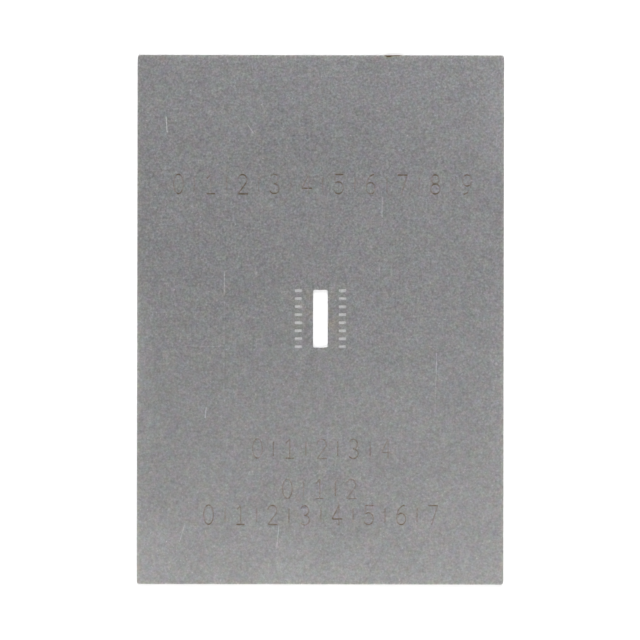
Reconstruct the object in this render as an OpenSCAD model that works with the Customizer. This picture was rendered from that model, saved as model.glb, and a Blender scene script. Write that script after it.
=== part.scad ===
// Solder paste stencil for one leadless package with two rows of pads.
// It is a single piece of thin stainless foil, cut out and pierced by laser.
// The sheet lies flat with its board face down. The origin is the middle of that face,
// X runs across the two rows, Y runs along them and Z points up to the squeegee face.
// Millimetres and degrees.

/* [Sheet] */
// Width of the sheet, across the rows
sheet_w = 22.86; // [16:0.01:60]
// Length of the sheet, along the rows
sheet_l = 33.02; // [20:0.01:90]
// Thickness of the foil
foil_t = 0.1; // [0.08:0.01:0.2]
// Radius of the sheet's four corners
corner_r = 0.18; // [0.05:0.01:2]

/* [Pad openings] */
// Number of openings in each row
pads_per_row = 8; // [2:1:12]
// Distance from one opening's middle to the next one's, along the row
pad_pitch = 0.5; // [0.4:0.01:1.27]
// Distance between the middle lines of the two rows
row_span = 2.75; // [2.2:0.01:6]
// Length of an opening, across its row, at the squeegee face
pad_l = 0.48; // [0.3:0.01:0.7]
// Width of an opening, along its row, at the squeegee face
pad_w = 0.17; // [0.14:0.01:0.3]
// Radius of an opening's corners, at the squeegee face
pad_r = 0.05; // [0.02:0.005:0.065]

/* [Heat pad opening] */
// Width of the middle opening, across the rows, at the squeegee face
slot_w = 0.93; // [0.5:0.01:1.5]
// Length of the middle opening, along the rows, at the squeegee face
slot_l = 3.6; // [1:0.01:8]
// Radius of the middle opening's corners, at the squeegee face
slot_r = 0.1; // [0.04:0.01:0.24]

/* [Laser cut] */
// Slope of the openings' walls: each opening widens towards the board, so that the
// paste lets go of it when the stencil is lifted
wall_slope = 5; // [0:0.5:10]
// Distance of the openings' common middle from the sheet's middle, along Y
pattern_shift = 0.06; // [-0.5:0.01:0.5]

/* [Hidden] */

// How far a cutter reaches past each face of the foil
overcut = 0.02;
cutter_h = foil_t + 2 * overcut;
// How far a sloped wall moves outwards down to the cutter's lower end, and inwards up
// to its upper end, from where it meets the squeegee face
flare_below = (foil_t + overcut) * tan(wall_slope);
flare_above = overcut * tan(wall_slope);

$fn = 48;

// A flat plate with four round corners and its lower face on z = 0
module rounded_plate(w, l, t, r) {
    translate([-w / 2 + r, -l / 2, 0]) cube([w - 2 * r, l, t]);
    translate([-w / 2, -l / 2 + r, 0]) cube([w, l - 2 * r, t]);
    for (x = [-1, 1], y = [-1, 1])
        translate([x * (w / 2 - r), y * (l / 2 - r), 0])
            cylinder(h = t, r = r);
}

// Section through the outer strip of an opening, r wide at the squeegee face. Its left
// side stands upright inside the opening and its right side is the sloped wall.
module wall_section(r) {
    polygon([
        [0, -overcut],
        [r + flare_below, -overcut],
        [r - flare_above, foil_t + overcut],
        [0, foil_t + overcut]
    ]);
}

// A straight stretch of that strip, along Y, with its wall facing +X
module wall_run(length, r) {
    rotate([90, 0, 0])
        translate([0, 0, -length / 2])
            linear_extrude(height = length)
                wall_section(r);
}

// A quarter turn of that strip, from +X round to +Y
module wall_corner(r) {
    rotate_extrude(angle = 90) wall_section(r);
}

// What the laser takes out for one opening, w by l with corners of radius r at the
// squeegee face. A core is ringed by four straight stretches and four quarter turns,
// which meet face to face, so that every wall stays one true plane or cone.
module opening(w, l, r) {
    translate([-w / 2 + r, -l / 2 + r, -overcut])
        cube([w - 2 * r, l - 2 * r, cutter_h]);
    for (side = [0 : 3]) {
        across = side % 2 == 0 ? w : l;
        along = side % 2 == 0 ? l : w;
        rotate([0, 0, 90 * side])
            translate([across / 2 - r, 0, 0]) {
                wall_run(along - 2 * r, r);
                translate([0, along / 2 - r, 0]) wall_corner(r);
            }
    }
}

// One opening for each pad of the package, evenly spaced about y = 0
module pad_row() {
    first = -(pads_per_row - 1) / 2 * pad_pitch;
    for (i = [0 : pads_per_row - 1])
        translate([0, first + i * pad_pitch, 0])
            opening(pad_l, pad_w, pad_r);
}

module stencil_sheet() {
    color([0.56, 0.56, 0.57])
        difference() {
            rounded_plate(sheet_w, sheet_l, foil_t, corner_r);
            translate([0, pattern_shift, 0]) {
                opening(slot_w, slot_l, slot_r);
                for (side = [-1, 1])
                    translate([side * row_span / 2, 0, 0]) pad_row();
            }
        }
}

stencil_sheet();
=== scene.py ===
"""Looks of a solder paste stencil: one flat sheet of thin stainless foil.

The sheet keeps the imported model's form. Only its squeegee face is made anew, so that the
laser-marked scales and the scratches are real grooves in it, a few thousandths of a
millimetre deep. Lengths are in millimetres until MM turns them into metres.
"""

import math
import random
from dataclasses import dataclass

import bmesh
import bpy
import numpy as np
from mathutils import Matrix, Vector
from mathutils.geometry import delaunay_2d_cdt


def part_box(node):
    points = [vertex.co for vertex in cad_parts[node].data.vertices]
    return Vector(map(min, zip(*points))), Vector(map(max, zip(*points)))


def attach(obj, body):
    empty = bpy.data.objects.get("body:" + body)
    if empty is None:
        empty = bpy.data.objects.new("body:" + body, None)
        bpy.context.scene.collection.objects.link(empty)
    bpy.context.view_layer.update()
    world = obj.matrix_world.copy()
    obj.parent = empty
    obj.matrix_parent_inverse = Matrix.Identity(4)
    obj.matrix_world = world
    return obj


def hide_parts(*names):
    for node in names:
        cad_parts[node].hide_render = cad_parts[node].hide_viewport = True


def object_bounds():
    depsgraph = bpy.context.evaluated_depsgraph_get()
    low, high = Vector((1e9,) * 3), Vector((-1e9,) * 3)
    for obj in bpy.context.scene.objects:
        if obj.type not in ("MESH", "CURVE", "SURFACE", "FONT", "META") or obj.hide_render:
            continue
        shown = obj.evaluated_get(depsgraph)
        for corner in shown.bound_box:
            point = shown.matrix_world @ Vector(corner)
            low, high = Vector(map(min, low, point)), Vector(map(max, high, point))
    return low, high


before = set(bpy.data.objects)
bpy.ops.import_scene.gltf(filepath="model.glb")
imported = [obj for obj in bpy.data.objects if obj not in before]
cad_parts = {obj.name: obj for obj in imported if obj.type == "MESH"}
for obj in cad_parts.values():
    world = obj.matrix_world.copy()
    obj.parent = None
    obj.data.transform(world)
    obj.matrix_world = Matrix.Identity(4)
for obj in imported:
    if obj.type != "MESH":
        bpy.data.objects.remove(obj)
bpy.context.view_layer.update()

MM = 0.001
SHEET_LO, SHEET_HI = (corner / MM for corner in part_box("stencil_sheet"))
SHEET_W = SHEET_HI.x - SHEET_LO.x
SHEET_L = SHEET_HI.y - SHEET_LO.y
FACE_Z = SHEET_HI.z

# ------------------------------------------------------------------ lines scored in the face


@dataclass
class Groove:
    """A line scored in the face: where it runs, its section, and what it does to the metal.

    An upright stretch of it keeps only the upright share of its oxide; the level stretches' extra
    darkness is painted shade, as on the walls of level grooves.
    """

    line: list
    half_width: float
    depth: float
    oxide_and_shade: float = 0.0
    upright: float = 1.0
    rub: float = 0.0


# The laser's marking line, and the heat-tinted shoulder beside it with its share of the tint
MARK_HALF_WIDTH = 0.06
MARK_DEPTH = 0.0025
SHOULDER = 0.08
SHOULDER_TINT = 0.25
# A groove is flat over this share of its half width
FLAT_SHARE = 0.45
# Distance between the mesh's points along a groove, and the least one between any two
STEP = 0.045
LEAST_GAP = 0.014
# Turns, in degrees from the groove's heading, at which points stand round its end
END_TURNS = (-60, -30, 0, 30, 60)

# A marked digit's cell, and the digit's own size in it
CELL_W = 1.0
DIGIT_W = 0.6
DIGIT_H = 1.2
# Where a division tick begins and ends between two digits
TICK_ENDS = (0.18, 1.02)


def arc(x, y, rx, ry, start, end):
    """Points on an ellipse about (x, y), from one angle in degrees to another."""
    steps = max(4, round(abs(math.radians(end - start)) * max(rx, ry) / STEP))
    turns = [math.radians(start + (end - start) * i / steps) for i in range(steps + 1)]
    return [(x + rx * math.cos(a), y + ry * math.sin(a)) for a in turns]


def digit_lines(digit):
    """The single-stroke lines of a plain digit, from (0, 0) at its lower left."""
    mid = DIGIT_W / 2
    full = DIGIT_H
    lines = {
        0: [arc(mid, full / 2, mid, full / 2, 90, 450)],
        1: [[(0.08, 0.95), (mid, full), (mid, 0.0)], [(0.08, 0.0), (0.52, 0.0)]],
        2: [arc(mid, 0.88, 0.28, 0.32, 165, -35) + [(0.02, 0.0), (0.6, 0.0)]],
        3: [arc(0.28, 0.9, 0.25, 0.3, 145, -90), arc(0.28, 0.3, 0.3, 0.3, 90, -145)],
        4: [[(0.42, 0.0), (0.42, full), (0.0, 0.36), (0.6, 0.36)]],
        5: [[(0.54, full), (0.08, full), (0.05, 0.66)] + arc(0.27, 0.37, 0.31, 0.37, 125, -145)],
        6: [arc(0.52, 0.36, 0.5, 0.84, 95, 180), arc(mid, 0.35, 0.28, 0.35, 180, 540)],
        7: [[(0.02, full), (0.58, full), (0.2, 0.0)]],
        8: [arc(mid, 0.91, 0.23, 0.29, -90, 270), arc(mid, 0.31, 0.29, 0.31, 90, 450)],
        9: [arc(0.08, 0.84, 0.5, 0.84, -85, 0), arc(mid, 0.85, 0.28, 0.35, 0, 360)],
    }
    return lines[digit]


# Each marked scale: how many digits, the middle of its row, how brown its level lines are,
# and how much of that its upright lines keep; the level lines' extra darkness is painted shade
SCALES = [
    (10, (0.13, 8.45), 1.0, 0.38),
    (5, (0.10, -8.05), 0.66, 0.8),
    (3, (-0.05, -10.55), 0.66, 0.8),
    (8, (0.04, -12.18), 0.8, 0.6),
]
# How far the marking line strays, and how much its oxide varies from line to line
MARK_WOBBLE = 0.012
OXIDE_SPREAD = (0.8, 1.1)
# The pale dot at the end of some lines: the share that has one, its size and how bright it is
DOT_SHARE = 0.35
DOT_LENGTH = 0.05
DOT_HALF_WIDTH = 0.03
DOT_BRIGHT = 0.5
SCALES_SEED = 7


def scale_grooves(count, middle, brown, upright, chance):
    """The digits from 0 up, two cells apart, with a division tick in each cell between."""
    cells = 2 * count - 1
    left = middle[0] - cells * CELL_W / 2 + (CELL_W - DIGIT_W) / 2
    foot = middle[1] - DIGIT_H / 2
    made = []
    for cell in range(cells):
        if cell % 2 == 0:
            lines = digit_lines(cell // 2)
        else:
            lines = [[(DIGIT_W / 2, y) for y in TICK_ENDS]]
        shift = chance.gauss(0, MARK_WOBBLE), chance.gauss(0, MARK_WOBBLE)
        for line in lines:
            placed = [(left + cell * CELL_W + x + shift[0], foot + y + shift[1]) for x, y in line]
            oxide_and_shade = brown * chance.uniform(*OXIDE_SPREAD)
            mark = Groove(placed, MARK_HALF_WIDTH, MARK_DEPTH, oxide_and_shade=oxide_and_shade, upright=upright)
            made.append(mark)
            if chance.random() < DOT_SHARE:
                made.append(dot(placed[-1], DOT_LENGTH, DOT_BRIGHT))
    return made


def dot(place, length, bright):
    """A speck of rubbed metal."""
    x, y = place
    line = [(x - length / 2, y), (x + length / 2, y)]
    return Groove(line, DOT_HALF_WIDTH, SCRATCH_DEPTH, rub=bright)


# Scratches and rubs from handling: the line, its half width and how bright it is
SCRATCHES = [
    ([(-9.65, 12.63), (-9.62, 12.1), (-9.59, 11.72)], 0.045, 0.9),
    ([(-4.62, 12.25), (-4.4, 11.95), (-4.22, 11.65)], 0.035, 0.6),
    ([(-2.47, 11.98), (-2.38, 11.94)], 0.03, 0.6),
    ([(-1.22, 11.98), (-1.12, 11.98)], 0.03, 0.6),
    ([(-6.01, 2.95), (-6.0, 2.2), (-6.02, 1.52)], 0.035, 0.55),
    ([(-6.0, 1.2), (-6.0, -1.5), (-6.02, -4.4)], 0.04, 0.14),
    ([(3.64, 3.58), (3.7, 2.77)], 0.03, 0.4),
    ([(3.86, 7.63), (3.82, 6.4)], 0.07, 0.3),
    ([(7.25, -2.05), (7.23, -3.1), (7.2, -4.22)], 0.03, 0.75),
    ([(6.75, -1.66), (7.2, -1.7)], 0.03, 0.5),
    ([(7.2, -4.3), (7.15, -6.0)], 0.04, 0.2),
    ([(-8.44, -1.65), (-6.9, -1.68), (-5.25, -1.64)], 0.03, 0.28),
    ([(-7.12, -5.5), (-7.18, -6.1)], 0.04, 0.5),
    ([(-8.43, -12.74), (-8.78, -13.88)], 0.03, 0.5),
    ([(-2.57, -12.86), (-2.71, -14.28)], 0.04, 0.4),
    ([(-8.1, 14.5), (-8.1, 13.5)], 0.035, 0.22),
    ([(-7.22, 16.05), (-7.38, 15.9)], 0.03, 0.5),
    ([(2.5, 13.75), (2.72, 13.74)], 0.03, 0.35),
]
# Specks, each a point and how bright it is
SPECKS = [
    ((10.16, -6.18), 0.9),
    ((-4.38, 13.9), 0.8),
    ((10.1, 12.97), 0.7),
    ((-10.79, 12.92), 0.8),
]
SCRATCH_DEPTH = 0.0015
SPECK_LENGTH = 0.07


def all_grooves():
    """Everything scored in the squeegee face."""
    chance = random.Random(SCALES_SEED)
    made = []
    for count, middle, brown, upright in SCALES:
        made += scale_grooves(count, middle, brown, upright, chance)
    for line, half_width, bright in SCRATCHES:
        made.append(Groove(line, half_width, SCRATCH_DEPTH, rub=bright))
    for place, bright in SPECKS:
        made.append(dot(place, SPECK_LENGTH, bright))
    return made


# ------------------------------------------------------------------ the sheet's mesh


def evenly(line, step):
    """Points along a line at even steps, and the line's direction at each."""
    line = np.array(line, float)
    runs = np.diff(line, axis=0)
    lengths = np.linalg.norm(runs, axis=1)
    ends = np.concatenate([[0.0], np.cumsum(lengths)])
    wanted = np.linspace(0.0, ends[-1], max(2, round(ends[-1] / step) + 1))
    part = np.clip(np.searchsorted(ends, wanted, side="right") - 1, 0, len(runs) - 1)
    way = runs[part] / lengths[part][:, None]
    return line[part] + way * (wanted - ends[part])[:, None], way


def nearest_on(points, line):
    """Each point's distance from a line, and how level the line is at the nearest place."""
    line = np.array(line, float)
    start = line[:-1]
    run = line[1:] - start
    along = ((points[:, None] - start) * run).sum(2) / (run**2).sum(1)
    nearest = start + np.clip(along, 0, 1)[..., None] * run
    away = np.linalg.norm(points[:, None] - nearest, axis=2)
    level = np.abs(run[:, 0]) / np.linalg.norm(run, axis=1)
    return away.min(1), level[away.argmin(1)]


def smooth_step(lo, hi, value):
    """0 below lo, smoothly up to 1 above hi."""
    share = np.clip((value - lo) / (hi - lo), 0, 1)
    return share * share * (3 - 2 * share)


class PointBed:
    """Points for the mesh, none closer than LEAST_GAP to one that was there first."""

    def __init__(self):
        self.points = []
        self.cells = {}

    def add(self, point):
        column, row = (math.floor(value / LEAST_GAP) for value in point)
        near = [(column + i, row + j) for i in (-1, 0, 1) for j in (-1, 0, 1)]
        for cell in near:
            if cell in self.cells and math.dist(self.cells[cell], point) < LEAST_GAP:
                return
        self.cells[(column, row)] = point
        self.points.append(point)


def groove_points(grooves):
    """Points across and along every groove, and round its two ends."""
    bed = PointBed()
    for groove in grooves:
        flat = groove.half_width * FLAT_SHARE
        reaches = (flat, groove.half_width, groove.half_width + SHOULDER)
        spots, ways = evenly(groove.line, STEP)
        for (x, y), (u, v) in zip(spots, ways):
            bed.add((x, y))
            for reach in reaches:
                bed.add((x - v * reach, y + u * reach))
                bed.add((x + v * reach, y - u * reach))
        for (x, y), (u, v), sign in ((spots[0], ways[0], -1), (spots[-1], ways[-1], 1)):
            heading = math.atan2(v * sign, u * sign)
            for reach in reaches:
                for turn in END_TURNS:
                    angle = heading + math.radians(turn)
                    bed.add((x + reach * math.cos(angle), y + reach * math.sin(angle)))
    return bed.points


def surface_at(points, grooves):
    """Depth, oxide with the painted shade of the level lines, and rub of the face at each point."""
    points = np.array(points, float)
    depth, oxide_and_shade, rub = np.zeros((3, len(points)))
    for groove in grooves:
        reach = groove.half_width + SHOULDER
        line = np.array(groove.line, float)
        near = np.all((points > line.min(0) - reach) & (points < line.max(0) + reach), axis=1)
        where = np.flatnonzero(near)
        if not len(where):
            continue
        away, level = nearest_on(points[where], groove.line)
        flat = groove.half_width * FLAT_SHARE
        inside = 1 - smooth_step(flat, groove.half_width, away)
        beside = 1 - smooth_step(flat, reach, away)
        tinted = (1 - SHOULDER_TINT) * inside + SHOULDER_TINT * beside
        depth[where] = np.maximum(depth[where], groove.depth * inside)
        # Painted shade: a level stretch keeps all its darkness, an upright one only its upright
        # share
        share = groove.upright + (1 - groove.upright) * level**2
        oxide_and_shade[where] = np.maximum(oxide_and_shade[where], groove.oxide_and_shade * share * tinted)
        rub[where] = np.maximum(rub[where], groove.rub * inside)
    return depth, oxide_and_shade, rub


def on_metal(points, rims):
    """Whether each point is inside the outline and in none of the openings."""
    x, y = points[:, :1], points[:, 1:]
    (x0, y0), (x1, y1) = rims[:, 0].T, rims[:, 1].T
    rise = np.where(y1 == y0, 1.0, y1 - y0)
    crossed = ((y0 > y) != (y1 > y)) & (x < x0 + (y - y0) * (x1 - x0) / rise)
    return crossed.sum(1) % 2 == 1


# Corners closer than this are one, and the face's cut is as exact as this, both in mm
SAME_PLACE = 1e-5
CUT_EXACT = 1e-6
# An edge is sharp where its faces meet at more than this, in degrees
SHARP_ANGLE = 30


def sheet_mesh(grooves):
    """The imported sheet, with its squeegee face cut afresh round the same rims."""
    bm = bmesh.new()
    bm.from_mesh(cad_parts["stencil_sheet"].data)
    oxide_and_shade_layer = bm.verts.layers.float.new("oxide_and_shade")
    rub_layer = bm.verts.layers.float.new("rub")
    bmesh.ops.scale(bm, vec=(1 / MM,) * 3, verts=bm.verts)
    bmesh.ops.remove_doubles(bm, verts=bm.verts, dist=SAME_PLACE)
    top = [f for f in bm.faces if all(abs(v.co.z - FACE_Z) < SAME_PLACE for v in f.verts)]
    bmesh.ops.delete(bm, geom=top, context="FACES")
    rim_edges = [e for e in bm.edges if e.is_boundary]
    rim = list({v: None for e in rim_edges for v in e.verts})
    order = {v: i for i, v in enumerate(rim)}
    edges = [tuple(order[v] for v in e.verts) for e in rim_edges]
    free = groove_points(grooves)
    places = [v.co.to_2d() for v in rim] + [Vector(p) for p in free]
    inside_the_outline = 1
    cut = delaunay_2d_cdt(places, edges, [], inside_the_outline, CUT_EXACT, True)
    points, faces, sources = cut[0], cut[2], cut[3]
    depth, oxide_and_shade, rub = surface_at(points, grooves)
    middles = np.array(points)[np.array(faces)].mean(1)
    of_metal = on_metal(middles, np.array(places)[np.array(edges)])

    verts = []
    for i, point in enumerate(points):
        rim_source = [s for s in sources[i] if s < len(rim)]
        if rim_source:
            vert = rim[rim_source[0]]
        else:
            vert = bm.verts.new((point.x, point.y, FACE_Z - depth[i]))
        vert[oxide_and_shade_layer] = oxide_and_shade[i]
        vert[rub_layer] = rub[i]
        verts.append(vert)
    for face, kept in zip(faces, of_metal):
        if kept:
            bm.faces.new([verts[i] for i in face])
    bmesh.ops.scale(bm, vec=(MM,) * 3, verts=bm.verts)
    bmesh.ops.recalc_face_normals(bm, faces=bm.faces)
    for face in bm.faces:
        face.smooth = True
    mesh = bpy.data.meshes.new("stencil_foil")
    bm.to_mesh(mesh)
    bm.free()
    packed_normals = mesh.attributes.get("custom_normal")
    if packed_normals:
        mesh.attributes.remove(packed_normals)
    mesh.set_sharp_from_angle(angle=math.radians(SHARP_ANGLE))
    return mesh


# ------------------------------------------------------------------ materials


class Nodes:
    """Short calls that add nodes to a material or world. An input is a number or a socket."""

    MIX_FACTOR, MIX_A, MIX_B, MIX_RESULT = 0, 6, 7, 2
    LENGTH_VALUE = 1

    def __init__(self, tree):
        self.tree = tree
        self.tree.nodes.clear()

    def add(self, kind, **settings):
        node = self.tree.nodes.new(kind)
        for name, value in settings.items():
            setattr(node, name, value)
        return node

    def put(self, socket, value):
        if isinstance(value, bpy.types.NodeSocket):
            self.tree.links.new(value, socket)
        else:
            socket.default_value = value

    def math(self, operation, *values, clamp=False):
        node = self.add("ShaderNodeMath", operation=operation, use_clamp=clamp)
        for socket, value in zip(node.inputs, values):
            self.put(socket, value)
        return node.outputs[0]

    def vector(self, operation, *values, output=0):
        node = self.add("ShaderNodeVectorMath", operation=operation)
        for socket, value in zip(node.inputs, values):
            self.put(socket, value)
        return node.outputs[output]

    def scaled(self, vector, factor):
        node = self.add("ShaderNodeVectorMath", operation="SCALE")
        self.put(node.inputs["Vector"], vector)
        self.put(node.inputs["Scale"], factor)
        return node.outputs[0]

    def noise(self, place, scale, detail=2.0, roughness=0.5):
        node = self.add("ShaderNodeTexNoise")
        self.put(node.inputs["Vector"], place)
        self.put(node.inputs["Scale"], scale)
        self.put(node.inputs["Detail"], detail)
        self.put(node.inputs["Roughness"], roughness)
        return node

    def step(self, value, lo, hi):
        """0 where value is at lo, smoothly up to 1 where it is at hi."""
        node = self.add("ShaderNodeMapRange", interpolation_type="SMOOTHSTEP")
        self.put(node.inputs["Value"], value)
        self.put(node.inputs["From Min"], lo)
        self.put(node.inputs["From Max"], hi)
        return node.outputs["Result"]

    def blob(self, place, middle, reach):
        """1 at a middle on the face, smoothly down to 0 at its reach along x and along y."""
        offset = self.vector("SUBTRACT", place, (*middle, FACE_Z))
        offset = self.vector("MULTIPLY", offset, (1 / reach[0], 1 / reach[1], 0.0))
        return self.step(self.vector("LENGTH", offset, output=self.LENGTH_VALUE), 1.0, 0.0)

    def mix(self, factor, first, second):
        node = self.add("ShaderNodeMix", data_type="RGBA")
        self.put(node.inputs[self.MIX_FACTOR], factor)
        self.put(node.inputs[self.MIX_A], first)
        self.put(node.inputs[self.MIX_B], second)
        return node.outputs[self.MIX_RESULT]


STEEL = (0.53, 0.53, 0.553)
PAPER = (0.92, 0.923, 0.933, 1)
# The marking laser's oxide: a thin film only tints the steel, a thick one hides it
THIN_OXIDE = (1.04, 0.965, 0.945)
THICK_OXIDE = (0.265, 0.225, 0.17, 1)
FILM_FROM_TO = (0.0, 0.35)
HIDES_FROM_TO = (0.1, 0.95)
# Tints that multiply the steel, and the burnt metal's own colour
HEAT_TINT = (1.04, 1.0, 0.89)
STRAW = (1.0, 1.0, 0.95)
PINK = (1.06, 0.95, 0.95)
BURN_HALO = (0.98, 0.86, 0.66)
SCORCH = (0.15, 0.09, 0.05, 1)

# Each noise: its waves to the millimetre, its detail and its roughness. Then how far it swings
GRAIN = (7.8, 3.0, 0.74)
GRAIN_SWING = (0.95, 1.42)
SPARKLE = (11.0, 0.0, 0.5)
SPARKLE_FROM_TO = (0.72, 0.86)
SPARKLE_SWING = 0.4
CLOUDS = (0.5, 2.0, 0.5)
CLOUDS_SWING = 0.15
MOTTLE = (3.6, 2.0, 0.5)
MOTTLE_SWING = 0.36
HUE = (2.1, 2.0, 0.6)
HUE_SWING = 0.24
WARM_PATCHES = (1.5, 2.0, 0.5)
WARM_FROM_TO = (0.42, 0.66)
BREAKS = (4.5, 2.0, 0.6)
BREAKS_SWING = 1.6
BREAKS_LEAST = 0.1
STREAKS = (30.0, 2.0, 0.5)
STREAKS_SWING = 2.0
# How little the streaks on a cut wall change from top to bottom
STREAKS_UPRIGHT = 0.08
# A face is a wall as its normal's upright part falls through these
WALL_FROM_TO = (0.8, 0.6)

# The cut edge's rim with a painted highlight, all round and at the +Y end: its reach in mm and its
# gain
HIGHLIGHT_RIM_REACH, HIGHLIGHT_RIM_GAIN = 0.11, 0.2
FAR_HIGHLIGHT_RIM_REACH, FAR_HIGHLIGHT_RIM_GAIN = 0.14, 0.16
STRAW_FROM_TO = (0.34, 0.1)
RUB_GAIN = 0.8
# The smooth metal's roughness, what the grain adds, and the grain's relief in mm
ROUGHNESS = 0.32
GRAIN_ROUGHNESS = 0.12
RELIEF = 0.002

# Lighter and darker patches of the face, painted light near its edges and painted shade over its
# middle: the middle, the reach and the change of tone
LIGHT_AND_SHADE_PATCHES = [
    ((-2.2, -15.6), (2.6, 3.0), 0.07),
    ((-11.6, -2.0), (1.6, 7.0), 0.18),
    ((-11.2, -15.0), (3.4, 4.5), 0.11),
    ((11.4, 13.0), (2.4, 6.5), 0.1),
    ((11.5, -3.0), (1.6, 8.0), 0.07),
    ((7.0, 9.6), (3.0, 1.6), -0.05),
    ((-5.0, 3.0), (5.0, 7.0), -0.04),
    ((4.5, -14.2), (6.5, 3.0), -0.03),
    ((0.5, -11.6), (9.0, 4.0), -0.06),
    ((0.5, 10.6), (8.0, 4.5), -0.06),
]
# Pinkish spots where the sheet was held, and the burnt end of the cut in the +Y edge
PINK_SPOTS = [((-9.87, 16.2), 0.4), ((3.5, 16.26), 0.45)]
BURNS = [((4.22, 16.53), (0.4, 0.2)), ((4.6, 16.53), (0.72, 0.11))]
BURN_FROM_TO = (0.1, 0.5)
# How much wider and deeper than the burn its halo is
HALO_SPREAD = (1.15, 1.9)
# The part of the face round the openings that the cutting laser warmed
WARMED = ((0.0, 0.06), (2.6, 3.1))


def grain_and_clouds(n, place, y):
    """The matte rolled face: even grain, a little stronger towards +Y, and soft clouds."""
    grain = n.noise(place, *GRAIN).outputs[0]
    strength = n.add("ShaderNodeMapRange")
    n.put(strength.inputs["Value"], y)
    n.put(strength.inputs["From Min"], -SHEET_L / 2)
    n.put(strength.inputs["From Max"], SHEET_L / 2)
    n.put(strength.inputs["To Min"], GRAIN_SWING[0])
    n.put(strength.inputs["To Max"], GRAIN_SWING[1])
    tone = n.math("MULTIPLY_ADD", n.math("SUBTRACT", grain, 0.5), strength.outputs["Result"], 1.0)
    sparkle = n.step(n.noise(place, *SPARKLE).outputs[0], *SPARKLE_FROM_TO)
    tone = n.math("MULTIPLY_ADD", sparkle, SPARKLE_SWING, tone)
    clouds = n.math("SUBTRACT", n.noise(place, *CLOUDS).outputs[0], 0.5)
    mottle = n.math("SUBTRACT", n.noise(place, *MOTTLE).outputs[0], 0.5)
    mottled = n.math("MULTIPLY_ADD", mottle, MOTTLE_SWING, 1.0)
    cloudy = n.math("MULTIPLY_ADD", clouds, CLOUDS_SWING, mottled)
    return grain, n.math("MULTIPLY", tone, cloudy)


def painted_rim_highlight(n, tone, inset, reach, gain):
    """The tone, with a painted highlight that brightens it towards a cut edge that is inset away."""
    painted_highlight = n.math("EXPONENT", n.math("DIVIDE", inset, -reach))
    return n.math("MULTIPLY", tone, n.math("MULTIPLY_ADD", painted_highlight, gain, 1.0))


def heat_tinted(n, place, colour):
    """Warm patches round the openings, pinkish spots, and the burnt end of the cut."""
    patchy = n.step(n.noise(place, *WARM_PATCHES).outputs[0], *WARM_FROM_TO)
    warmed = n.math("MULTIPLY", n.blob(place, *WARMED), patchy)
    colour = n.mix(warmed, colour, n.vector("MULTIPLY", colour, HEAT_TINT))
    for middle, reach in PINK_SPOTS:
        pink = n.vector("MULTIPLY", colour, PINK)
        colour = n.mix(n.blob(place, middle, (reach, reach)), colour, pink)
    for middle, reach in BURNS:
        halo = n.blob(place, middle, (reach[0] * HALO_SPREAD[0], reach[1] * HALO_SPREAD[1]))
        colour = n.mix(halo, colour, n.vector("MULTIPLY", colour, BURN_HALO))
        burnt = n.step(n.blob(place, middle, reach), *BURN_FROM_TO)
        colour = n.mix(burnt, colour, SCORCH)
    return colour


def oxidised(n, place, colour):
    """The oxide of the marking laser, darker on level strokes with painted shade, broken up along
    its lines.
    """
    oxide_and_shade = n.add("ShaderNodeAttribute", attribute_name="oxide_and_shade").outputs["Fac"]
    broken = n.noise(place, *BREAKS).outputs[0]
    oxide_and_shade = n.math("MULTIPLY", oxide_and_shade, n.math("MULTIPLY_ADD", broken, BREAKS_SWING, BREAKS_LEAST))
    film = n.step(oxide_and_shade, *FILM_FROM_TO)
    colour = n.mix(film, colour, n.vector("MULTIPLY", colour, THIN_OXIDE))
    return n.mix(n.step(oxide_and_shade, *HIDES_FROM_TO), colour, THICK_OXIDE)


def relief_normal(n, place, grain):
    """The grain's relief, and the fine upright striations that the laser leaves on a wall."""
    facing = n.add("ShaderNodeSeparateXYZ")
    n.put(facing.inputs[0], n.add("ShaderNodeNewGeometry").outputs["True Normal"])
    wall = n.step(n.math("ABSOLUTE", facing.outputs["Z"]), *WALL_FROM_TO)
    drawn_out = n.vector("MULTIPLY", place, (1.0, 1.0, STREAKS_UPRIGHT))
    streaks = n.noise(drawn_out, *STREAKS).outputs[0]
    height = n.math("MULTIPLY_ADD", n.math("MULTIPLY", wall, streaks), STREAKS_SWING, grain)
    bump = n.add("ShaderNodeBump")
    bump.inputs["Strength"].default_value = 1.0
    bump.inputs["Distance"].default_value = RELIEF * MM
    n.put(bump.inputs["Height"], height)
    return bump.outputs["Normal"]


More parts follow.
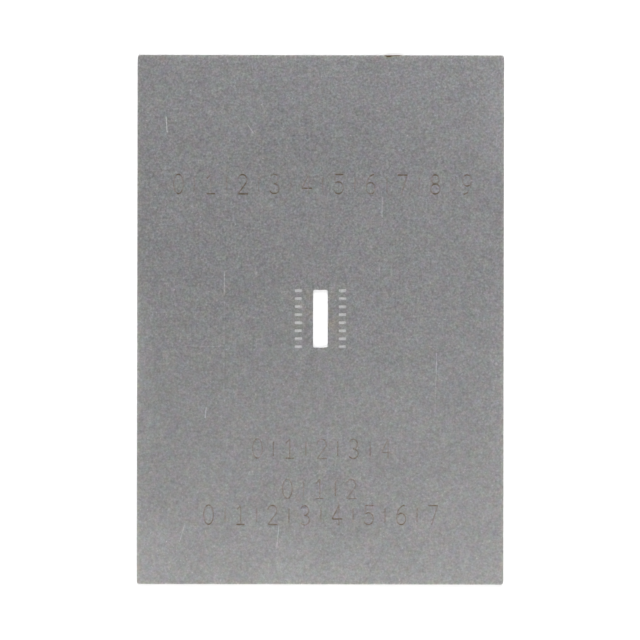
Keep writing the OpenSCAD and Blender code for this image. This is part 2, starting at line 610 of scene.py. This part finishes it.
def foil_material():
    """Matte rolled stainless: fine even grain, cloudy tone with patches of painted light and shade,
    a painted highlight along the cut rims, heat tint along the cuts.
    """
    material = bpy.data.materials.new("stainless_foil")
    material.use_nodes = True
    n = Nodes(material.node_tree)
    out = n.add("ShaderNodeOutputMaterial")
    metal = n.add("ShaderNodeBsdfPrincipled")
    n.put(out.inputs["Surface"], metal.outputs["BSDF"])
    metal.inputs["Metallic"].default_value = 1.0

    place = n.scaled(n.add("ShaderNodeTexCoord").outputs["Object"], 1 / MM)
    split = n.add("ShaderNodeSeparateXYZ")
    n.put(split.inputs[0], place)
    x, y = split.outputs["X"], split.outputs["Y"]
    grain, tone = grain_and_clouds(n, place, y)
    # Painted light and shade: lighter patches near the edges, darker ones over the middle
    for middle, reach, change in LIGHT_AND_SHADE_PATCHES:
        tone = n.math("MULTIPLY_ADD", n.blob(place, middle, reach), change, tone)

    # Distance in from the nearest cut edge, along whose rim a highlight is painted, most of all at
    # the +Y end
    from_side = n.math("SUBTRACT", SHEET_W / 2, n.math("ABSOLUTE", x))
    from_end = n.math("SUBTRACT", SHEET_L / 2, n.math("ABSOLUTE", y))
    inset = n.math("MINIMUM", from_side, from_end)
    tone = painted_rim_highlight(n, tone, inset, HIGHLIGHT_RIM_REACH, HIGHLIGHT_RIM_GAIN)
    from_far_end = n.math("SUBTRACT", SHEET_L / 2, y)
    tone = painted_rim_highlight(n, tone, from_far_end, FAR_HIGHLIGHT_RIM_REACH, FAR_HIGHLIGHT_RIM_GAIN)

    rub = n.add("ShaderNodeAttribute", attribute_name="rub").outputs["Fac"]
    tone = n.math("MULTIPLY", tone, n.math("MULTIPLY_ADD", rub, RUB_GAIN, 1.0))

    hue = n.noise(place, *HUE).outputs["Color"]
    hue = n.vector("MULTIPLY_ADD", hue, (HUE_SWING,) * 3, (1 - HUE_SWING / 2,) * 3)
    colour = n.scaled(n.vector("MULTIPLY", hue, STEEL), tone)
    straw = n.step(inset, *STRAW_FROM_TO)
    colour = n.mix(straw, colour, n.vector("MULTIPLY", colour, STRAW))
    colour = oxidised(n, place, heat_tinted(n, place, colour))
    n.put(metal.inputs["Base Color"], colour)
    n.put(metal.inputs["Roughness"], n.math("MULTIPLY_ADD", grain, GRAIN_ROUGHNESS, ROUGHNESS))
    n.put(metal.inputs["Normal"], relief_normal(n, place, grain))
    return material


def floor_material():
    """Plain pale paper, lit to white."""
    material = bpy.data.materials.new("studio_floor")
    material.use_nodes = True
    n = Nodes(material.node_tree)
    out = n.add("ShaderNodeOutputMaterial")
    paper = n.add("ShaderNodeBsdfDiffuse")
    paper.inputs["Color"].default_value = PAPER
    n.put(out.inputs["Surface"], paper.outputs["BSDF"])
    return material


# ------------------------------------------------------------------ the piece

foil = bpy.data.objects.new("stencil_foil", sheet_mesh(all_grooves()))
bpy.context.scene.collection.objects.link(foil)
foil.data.materials.append(foil_material())
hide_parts("stencil_sheet")
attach(foil, "root")

# ------------------------------------------------------------------ floor, light and camera

# In metres
FLOOR_SIZE = 4.0
FLOOR_DROP = 0.02 * MM


def make_floor():
    """A wide floor just under the sheet."""
    mesh = bpy.data.meshes.new("studio_floor")
    half = FLOOR_SIZE / 2
    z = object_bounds()[0].z - FLOOR_DROP
    corners = [(-half, -half, z), (half, -half, z), (half, half, z), (-half, half, z)]
    mesh.from_pydata(corners, [], [(0, 1, 2, 3)])
    floor = bpy.data.objects.new("studio_floor", mesh)
    bpy.context.scene.collection.objects.link(floor)
    mesh.materials.append(floor_material())


# Each soft box: its name, the side it stands on, its height in degrees, its power in watts
# and its colour. Side 0 is -Y, and the sides go round by +X.
SOFT_BOXES = [
    ("box_front_low", 0, 22, 3.7, (1.0, 1.0, 1.0)),
    ("box_front_high", 0, 50, 1.05, (1.0, 0.985, 0.9)),
    ("box_right_low", 90, 22, 0.73, (1.0, 1.0, 1.0)),
    ("box_right_high", 90, 50, 0.33, (1.0, 1.0, 1.0)),
    ("box_back_low", 180, 22, 4.73, (1.0, 1.0, 1.0)),
    ("box_back_high", 180, 50, 0.3, (1.0, 1.0, 1.0)),
    ("box_left_low", 270, 22, 0.84, (1.0, 1.0, 1.0)),
]
# In metres
BOX_SIZE = 0.45
BOX_DISTANCE = 0.6
WORLD_LIGHT = 0.15


def soft_box(name, side, height, power, colour):
    """A square area light that faces the sheet."""
    data = bpy.data.lights.new(name, "AREA")
    data.shape = "SQUARE"
    data.size = BOX_SIZE
    data.energy = power
    data.color = colour
    lamp = bpy.data.objects.new(name, data)
    turn, rise = math.radians(side), math.radians(height)
    way = Vector((math.sin(turn) * math.cos(rise), -math.cos(turn) * math.cos(rise), math.sin(rise)))
    lamp.location = way * BOX_DISTANCE
    lamp.rotation_euler = (-way).to_track_quat("-Z", "Y").to_euler()
    bpy.context.scene.collection.objects.link(lamp)


def light_scene():
    """An even pale surround, and the soft boxes."""
    world = bpy.data.worlds.new("studio")
    bpy.context.scene.world = world
    world.use_nodes = True
    n = Nodes(world.node_tree)
    sky = n.add("ShaderNodeBackground")
    sky.inputs["Color"].default_value = (1, 1, 1, 1)
    sky.inputs["Strength"].default_value = WORLD_LIGHT
    n.put(n.add("ShaderNodeOutputWorld").inputs["Surface"], sky.outputs[0])
    for box in SOFT_BOXES:
        soft_box(*box)


# The camera looks straight down. The frame is FRAME_W wide at the sheet's face.
FRAME_W = 39.93
LENS = 100.0
SENSOR = 36.0
# Where the frame's middle is on the sheet, and how far the camera is turned, in degrees
FRAME_MIDDLE = (-0.029, -0.016)
CAMERA_TURN = 0.1
# The camera's nearest and farthest sight, in metres
CLIP = (0.005, 20.0)


def make_camera():
    """The camera at the photograph's place."""
    data = bpy.data.cameras.new("camera")
    data.lens = LENS
    data.sensor_width = SENSOR
    data.clip_start, data.clip_end = CLIP
    camera = bpy.data.objects.new("camera", data)
    height = FACE_Z + FRAME_W * LENS / SENSOR
    camera.location = Vector((*FRAME_MIDDLE, height)) * MM
    camera.rotation_euler = (0.0, 0.0, math.radians(CAMERA_TURN))
    bpy.context.scene.collection.objects.link(camera)
    bpy.context.scene.camera = camera


make_floor()
light_scene()
make_camera()
bpy.context.scene.view_settings.view_transform = "Standard"
